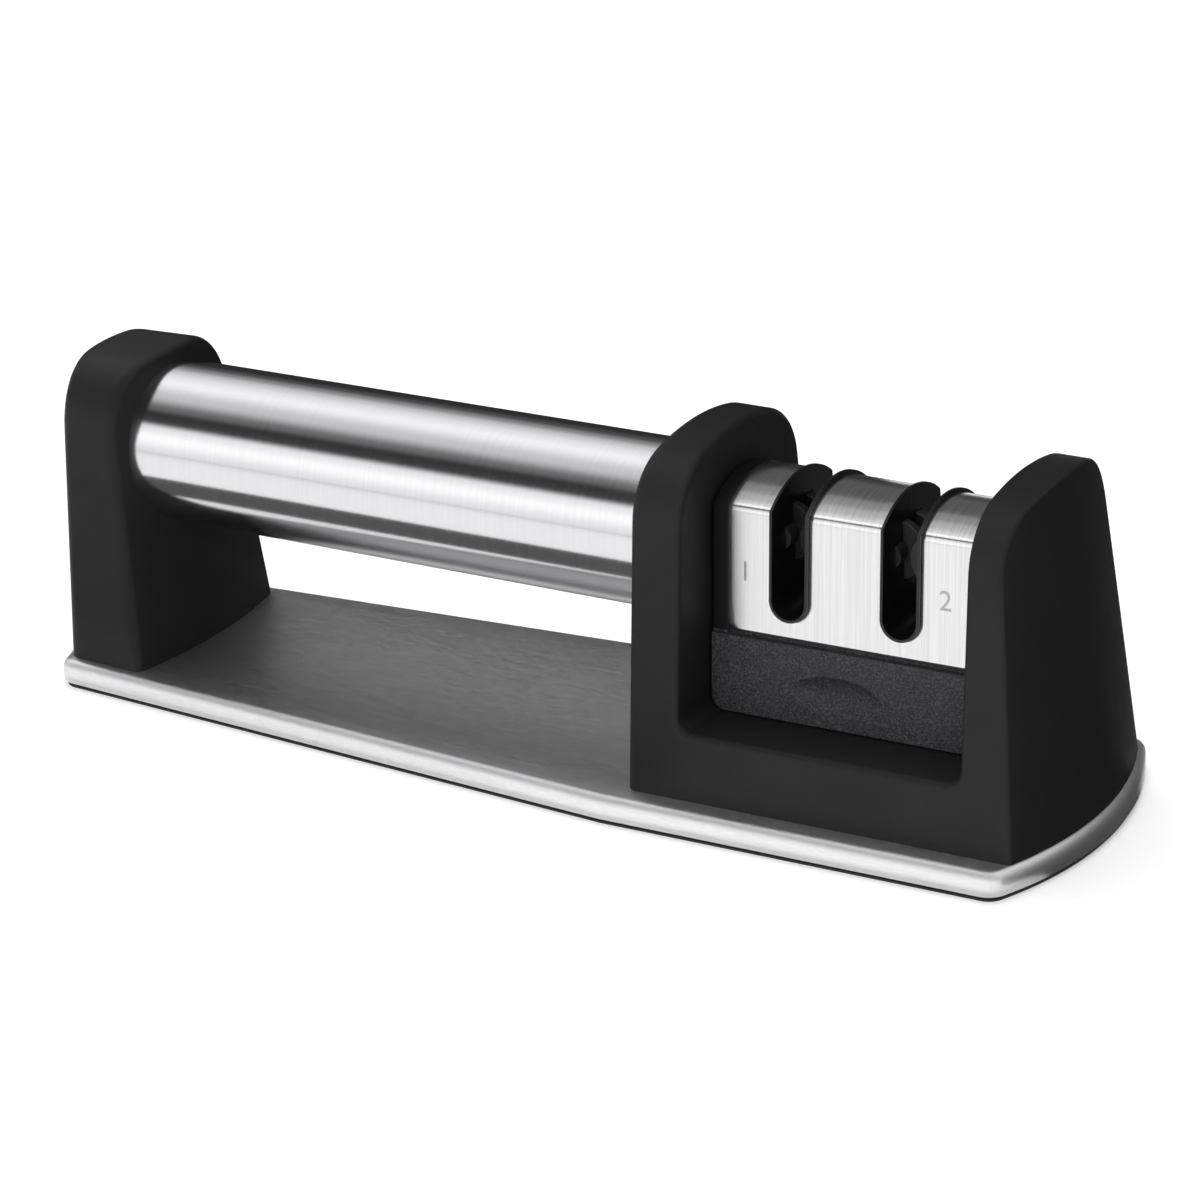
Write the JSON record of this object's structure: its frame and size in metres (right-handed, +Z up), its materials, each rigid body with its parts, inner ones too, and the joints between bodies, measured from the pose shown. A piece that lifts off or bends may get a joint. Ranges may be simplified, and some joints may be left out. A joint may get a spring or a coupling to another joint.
{
  "type": "knife sharpener",
  "caption": "Pull-through knife sharpener: steel-clad base, round tube handle, moulded head and a lift-out cartridge with slots over interleaved free-spinning discs.",
  "frame": {"origin": "middle of the outline's box on the surface that the sharpener stands on", "axes": "+X along the handle from the post to the head, front towards -Y, +Z up"},
  "size_m": [0.209, 0.063, 0.0644],
  "materials": {
    "pan_steel": "brushed along X",
    "insert_plastic": "moulded",
    "mat_rubber": "matte",
    "screw_steel": "turned",
    "black_plastic": "satin moulded",
    "tube_steel": "finely brushed round the tube",
    "cartridge_plastic": "coarse spark-eroded grain",
    "cover_steel": "brushed upwards",
    "hub_plastic": "moulded",
    "coarse_grit": "diamond grit on steel",
    "fine_ceramic": "unglazed, fine"
  },
  "bodies": {
    "base": {"base_pan": "pan_steel", "base_core": "insert_plastic", "base_mat": "mat_rubber", "post_screws": "screw_steel", "head_screws": "screw_steel", "handle_post": "black_plastic", "handle_tube": "tube_steel", "head_housing": "black_plastic"},
    "cartridge": {"cartridge_front_shell": "cartridge_plastic", "cartridge_rear_shell": "cartridge_plastic", "cartridge_cover": "cover_steel", "cartridge_screws": "screw_steel", "coarse_axle_left": "screw_steel", "coarse_axle_right": "screw_steel", "fine_axle_left": "screw_steel", "fine_axle_right": "screw_steel"},
    "coarse_wheels_left": {"coarse_hub_left": "hub_plastic", "coarse_disc_left_front": "coarse_grit", "coarse_disc_left_rear": "coarse_grit"},
    "coarse_wheels_right": {"coarse_hub_right": "hub_plastic", "coarse_disc_right_front": "coarse_grit", "coarse_disc_right_middle": "coarse_grit", "coarse_disc_right_rear": "coarse_grit"},
    "fine_wheels_left": {"fine_hub_left": "hub_plastic", "fine_disc_left_front": "fine_ceramic", "fine_disc_left_rear": "fine_ceramic"},
    "fine_wheels_right": {"fine_hub_right": "hub_plastic", "fine_disc_right_front": "fine_ceramic", "fine_disc_right_middle": "fine_ceramic", "fine_disc_right_rear": "fine_ceramic"}
  },
  "joints": [
    {"name": "cartridge_lift", "type": "slide", "parent": "base", "child": "cartridge", "axis": [0, 0, 1], "range_m": [0, 0.048]},
    {"name": "coarse_left_spin", "type": "hinge", "parent": "cartridge", "child": "coarse_wheels_left", "pos_m": [0.0462, 0, 0.0476], "axis": [0, 1, 0], "continuous": true},
    {"name": "coarse_right_spin", "type": "hinge", "parent": "cartridge", "child": "coarse_wheels_right", "pos_m": [0.0552, 0, 0.0476], "axis": [0, 1, 0], "continuous": true},
    {"name": "fine_left_spin", "type": "hinge", "parent": "cartridge", "child": "fine_wheels_left", "pos_m": [0.067, 0, 0.0476], "axis": [0, 1, 0], "continuous": true},
    {"name": "fine_right_spin", "type": "hinge", "parent": "cartridge", "child": "fine_wheels_right", "pos_m": [0.076, 0, 0.0476], "axis": [0, 1, 0], "continuous": true}
  ]
}
